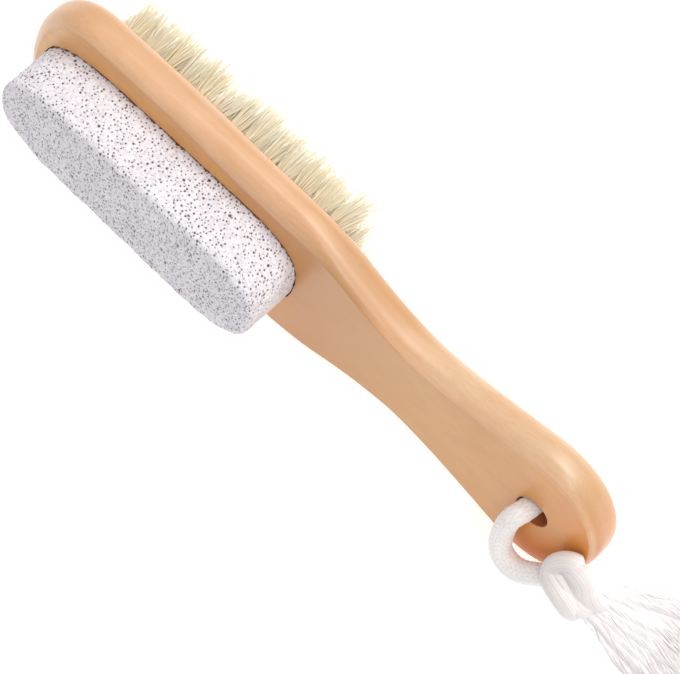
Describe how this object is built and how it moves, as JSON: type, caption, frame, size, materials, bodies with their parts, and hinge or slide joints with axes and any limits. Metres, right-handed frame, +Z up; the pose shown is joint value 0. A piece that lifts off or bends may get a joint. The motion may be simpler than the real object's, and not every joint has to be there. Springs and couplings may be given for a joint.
{
  "type": "foot scrubber",
  "caption": "Two-sided wooden foot scrubber with a pumice stone on one face, natural bristle tufts on the other and a knotted hanging cord through the handle.",
  "frame": {"origin": "on the ground under the middle of the brush as it rests on the edge of its head and the tips of its lowest bristle row", "axes": "+X from the head towards the handle, +Y towards the side that the bristles lean to, +Z up"},
  "size_m": [0.2131, 0.0458, 0.0452],
  "materials": {
    "lacquered_hardwood": "satin lacquer",
    "pumice": "rough and porous",
    "set_adhesive": "dull",
    "natural_bristle": "natural fibre",
    "white_cotton": "braided cotton"
  },
  "bodies": {
    "brush": {"wooden_handle": "lacquered_hardwood", "pumice_stone": "pumice", "stone_adhesive_bed": "set_adhesive", "bristle_tuft_1_01": "natural_bristle", "bristle_tuft_1_02": "natural_bristle", "bristle_tuft_1_03": "natural_bristle", "bristle_tuft_1_04": "natural_bristle", "bristle_tuft_1_05": "natural_bristle", "bristle_tuft_1_06": "natural_bristle", "bristle_tuft_1_07": "natural_bristle", "bristle_tuft_1_08": "natural_bristle", "bristle_tuft_1_09": "natural_bristle", "bristle_tuft_1_10": "natural_bristle", "bristle_tuft_1_11": "natural_bristle", "bristle_tuft_1_12": "natural_bristle", "bristle_tuft_1_13": "natural_bristle", "bristle_tuft_2_01": "natural_bristle", "bristle_tuft_2_02": "natural_bristle", "bristle_tuft_2_03": "natural_bristle", "bristle_tuft_2_04": "natural_bristle", "bristle_tuft_2_05": "natural_bristle", "bristle_tuft_2_06": "natural_bristle", "bristle_tuft_2_07": "natural_bristle", "bristle_tuft_2_08": "natural_bristle", "bristle_tuft_2_09": "natural_bristle", "bristle_tuft_2_10": "natural_bristle", "bristle_tuft_2_11": "natural_bristle", "bristle_tuft_2_12": "natural_bristle", "bristle_tuft_2_13": "natural_bristle", "bristle_tuft_2_14": "natural_bristle", "bristle_tuft_3_01": "natural_bristle", "bristle_tuft_3_02": "natural_bristle", "bristle_tuft_3_03": "natural_bristle", "bristle_tuft_3_04": "natural_bristle", "bristle_tuft_3_05": "natural_bristle", "bristle_tuft_3_06": "natural_bristle", "bristle_tuft_3_07": "natural_bristle", "bristle_tuft_3_08": "natural_bristle", "bristle_tuft_3_09": "natural_bristle", "bristle_tuft_3_10": "natural_bristle", "bristle_tuft_3_11": "natural_bristle", "bristle_tuft_3_12": "natural_bristle", "bristle_tuft_3_13": "natural_bristle", "bristle_tuft_3_14": "natural_bristle", "bristle_tuft_4_01": "natural_bristle", "bristle_tuft_4_02": "natural_bristle", "bristle_tuft_4_03": "natural_bristle", "bristle_tuft_4_04": "natural_bristle", "bristle_tuft_4_05": "natural_bristle", "bristle_tuft_4_06": "natural_bristle", "bristle_tuft_4_07": "natural_bristle", "bristle_tuft_4_08": "natural_bristle", "bristle_tuft_4_09": "natural_bristle", "bristle_tuft_4_10": "natural_bristle", "bristle_tuft_4_11": "natural_bristle", "bristle_tuft_4_12": "natural_bristle", "bristle_tuft_4_13": "natural_bristle"},
    "hang_cord": {"cord_loop": "white_cotton", "cord_knot": "white_cotton", "cord_tassel": "white_cotton"}
  },
  "joints": [
    {"name": "cord_swing", "type": "hinge", "parent": "brush", "child": "hang_cord", "pos_m": [0.07105, 0.00006, 0.02263], "axis": [0, -0.9252, 0.3795], "range_deg": [-8, 105]}
  ]
}
